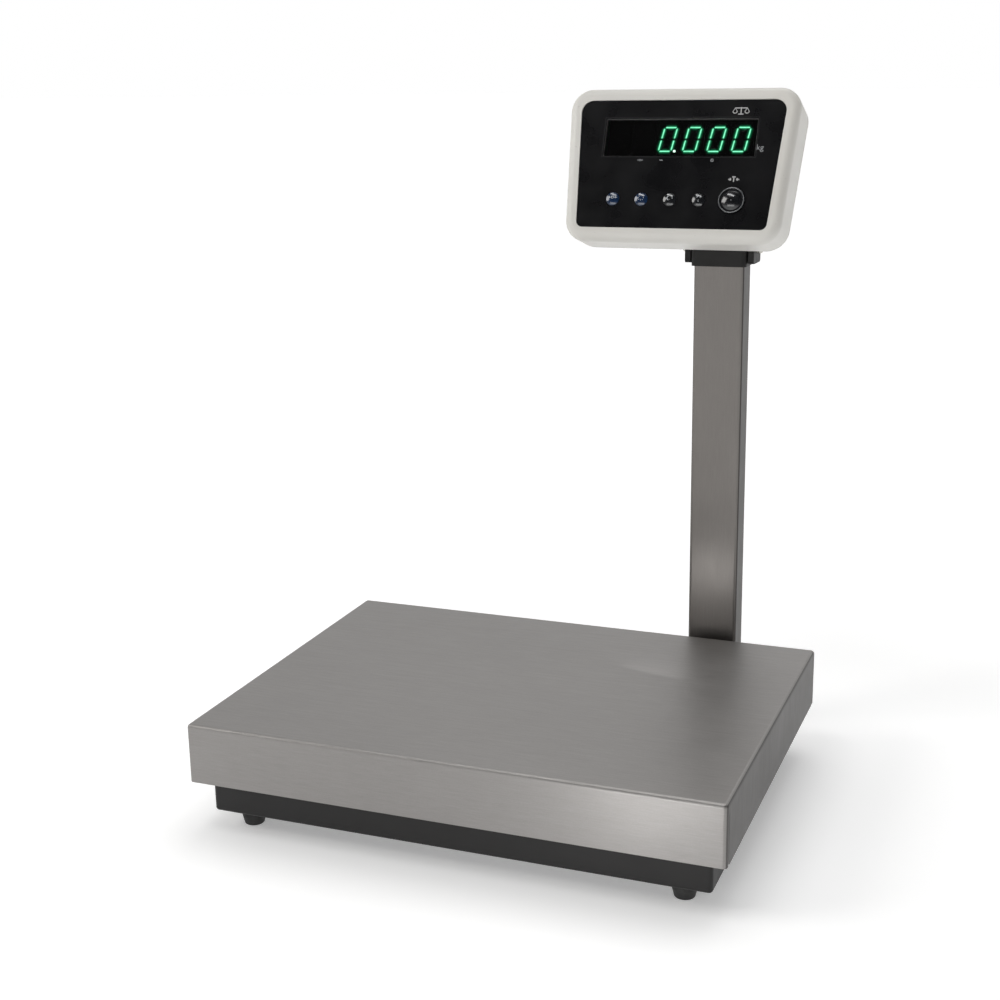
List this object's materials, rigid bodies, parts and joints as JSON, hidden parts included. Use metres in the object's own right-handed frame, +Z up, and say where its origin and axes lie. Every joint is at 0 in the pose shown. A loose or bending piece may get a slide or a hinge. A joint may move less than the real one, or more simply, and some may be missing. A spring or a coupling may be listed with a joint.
{
  "type": "bench scale",
  "caption": "Bench scale with a stainless weighing pan on a folded steel base and a tilting digital display head on a column behind the pan.",
  "frame": {"origin": "middle of the footprint, on the floor under the feet", "axes": "+Z up, +X to the right seen from the operator's side, -Y towards the operator"},
  "size_m": [0.4, 0.3418, 0.5235],
  "materials": {
    "brushed_stainless": "fine straight brushed grain",
    "base_paint": "satin charcoal powder coat",
    "zinc_steel": "bright zinc plated",
    "bare_aluminium": "milled",
    "structural_steel": "grey primer",
    "foot_rubber": "matte",
    "pad_rubber": "matte",
    "black_plastic": "fine moulded texture",
    "shell_plastic": "light grey, satin, fine moulded texture",
    "face_black": "printed overlay, semi-gloss",
    "smoked_window": "smoked clear acrylic",
    "digit_block": "black epoxy with pale segments",
    "key_clear": "glossy domed overlay",
    "circuit_board": "green solder mask",
    "component_black": "moulded epoxy",
    "battery_case": "moulded ABS",
    "level_fluid": "tinted vial",
    "cable_jacket": "smooth PVC",
    "seal_rubber": "soft"
  },
  "bodies": {
    "base": {"base_tray": "base_paint", "cell_mount_plate": "structural_steel", "cell_base_spacer": "structural_steel", "load_cell": "bare_aluminium", "cell_base_screws": "zinc_steel", "overload_stops": "zinc_steel", "foot_nuts": "zinc_steel", "battery": "battery_case", "battery_strap": "zinc_steel", "junction_board": "circuit_board", "level_cup": "black_plastic", "level_vial": "level_fluid", "dc_jack": "black_plastic", "pole": "brushed_stainless", "pole_bracket": "base_paint", "bracket_bolts": "zinc_steel", "pole_screws": "zinc_steel", "pole_collar": "black_plastic", "collar_screws": "zinc_steel", "tilt_bolt": "zinc_steel", "friction_washers": "black_plastic", "signal_cable": "cable_jacket", "cable_grommet": "seal_rubber"},
    "platform": {"spider_beam": "structural_steel", "spider_rail_left": "structural_steel", "spider_rail_right": "structural_steel", "cell_top_spacer": "structural_steel", "cell_top_screws": "zinc_steel", "platter_pads": "pad_rubber"},
    "platter": {"platter_pan": "brushed_stainless", "platter_ribs": "brushed_stainless"},
    "head": {"front_shell": "shell_plastic", "head_seal": "seal_rubber", "rear_shell": "shell_plastic", "face_plate": "face_black", "display_window": "smoked_window", "digit_display": "digit_block", "display_board": "circuit_board", "key_switches": "component_black", "board_spacers": "zinc_steel", "main_board": "circuit_board", "board_screws": "zinc_steel", "buzzer": "component_black", "shell_screws": "zinc_steel", "tilt_yoke": "black_plastic", "yoke_screws": "zinc_steel"},
    "foot_front_left": {"foot_stud_front_left": "zinc_steel", "foot_pad_front_left": "foot_rubber"},
    "foot_front_right": {"foot_stud_front_right": "zinc_steel", "foot_pad_front_right": "foot_rubber"},
    "foot_rear_left": {"foot_stud_rear_left": "zinc_steel", "foot_pad_rear_left": "foot_rubber"},
    "foot_rear_right": {"foot_stud_rear_right": "zinc_steel", "foot_pad_rear_right": "foot_rubber"},
    "key_zero": {"key_zero": "key_clear"},
    "key_light": {"key_light": "key_clear"},
    "key_left": {"key_left": "key_clear"},
    "key_up": {"key_up": "key_clear"},
    "key_tare": {"key_tare": "key_clear"}
  },
  "joints": [
    {"name": "platform_travel", "type": "slide", "parent": "base", "child": "platform", "axis": [0, 0, 1], "range_m": [-0.0006, 0], "stiffness_N_per_m": 600000, "springref_m": 0.00007, "deforming": ["load_cell"]},
    {"name": "platter_lift", "type": "slide", "parent": "platform", "child": "platter", "axis": [0, 0, 1], "range_m": [0, 0.07]},
    {"name": "head_tilt", "type": "hinge", "parent": "base", "child": "head", "pos_m": [0.1118, 0.1536, 0.404], "axis": [1, 0, 0], "range_deg": [-25, 25]},
    {"name": "foot_front_left_level", "type": "slide", "parent": "base", "child": "foot_front_left", "axis": [0, 0, -1], "range_m": [0, 0.01]},
    {"name": "foot_front_right_level", "type": "slide", "parent": "base", "child": "foot_front_right", "axis": [0, 0, -1], "range_m": [0, 0.01]},
    {"name": "foot_rear_left_level", "type": "slide", "parent": "base", "child": "foot_rear_left", "axis": [0, 0, -1], "range_m": [0, 0.01]},
    {"name": "foot_rear_right_level", "type": "slide", "parent": "base", "child": "foot_rear_right", "axis": [0, 0, -1], "range_m": [0, 0.01]},
    {"name": "key_zero_press", "type": "slide", "parent": "head", "child": "key_zero", "axis": [0, 0.9291, -0.3697], "range_m": [0, 0.0007], "stiffness_N_per_m": 2500, "springref_m": -0.0001},
    {"name": "key_light_press", "type": "slide", "parent": "head", "child": "key_light", "axis": [0, 0.9291, -0.3697], "range_m": [0, 0.0007], "stiffness_N_per_m": 2500, "springref_m": -0.0001},
    {"name": "key_left_press", "type": "slide", "parent": "head", "child": "key_left", "axis": [0, 0.9291, -0.3697], "range_m": [0, 0.0007], "stiffness_N_per_m": 2500, "springref_m": -0.0001},
    {"name": "key_up_press", "type": "slide", "parent": "head", "child": "key_up", "axis": [0, 0.9291, -0.3697], "range_m": [0, 0.0007], "stiffness_N_per_m": 2500, "springref_m": -0.0001},
    {"name": "key_tare_press", "type": "slide", "parent": "head", "child": "key_tare", "axis": [0, 0.9291, -0.3697], "range_m": [0, 0.0007], "stiffness_N_per_m": 2500, "springref_m": -0.0001}
  ]
}
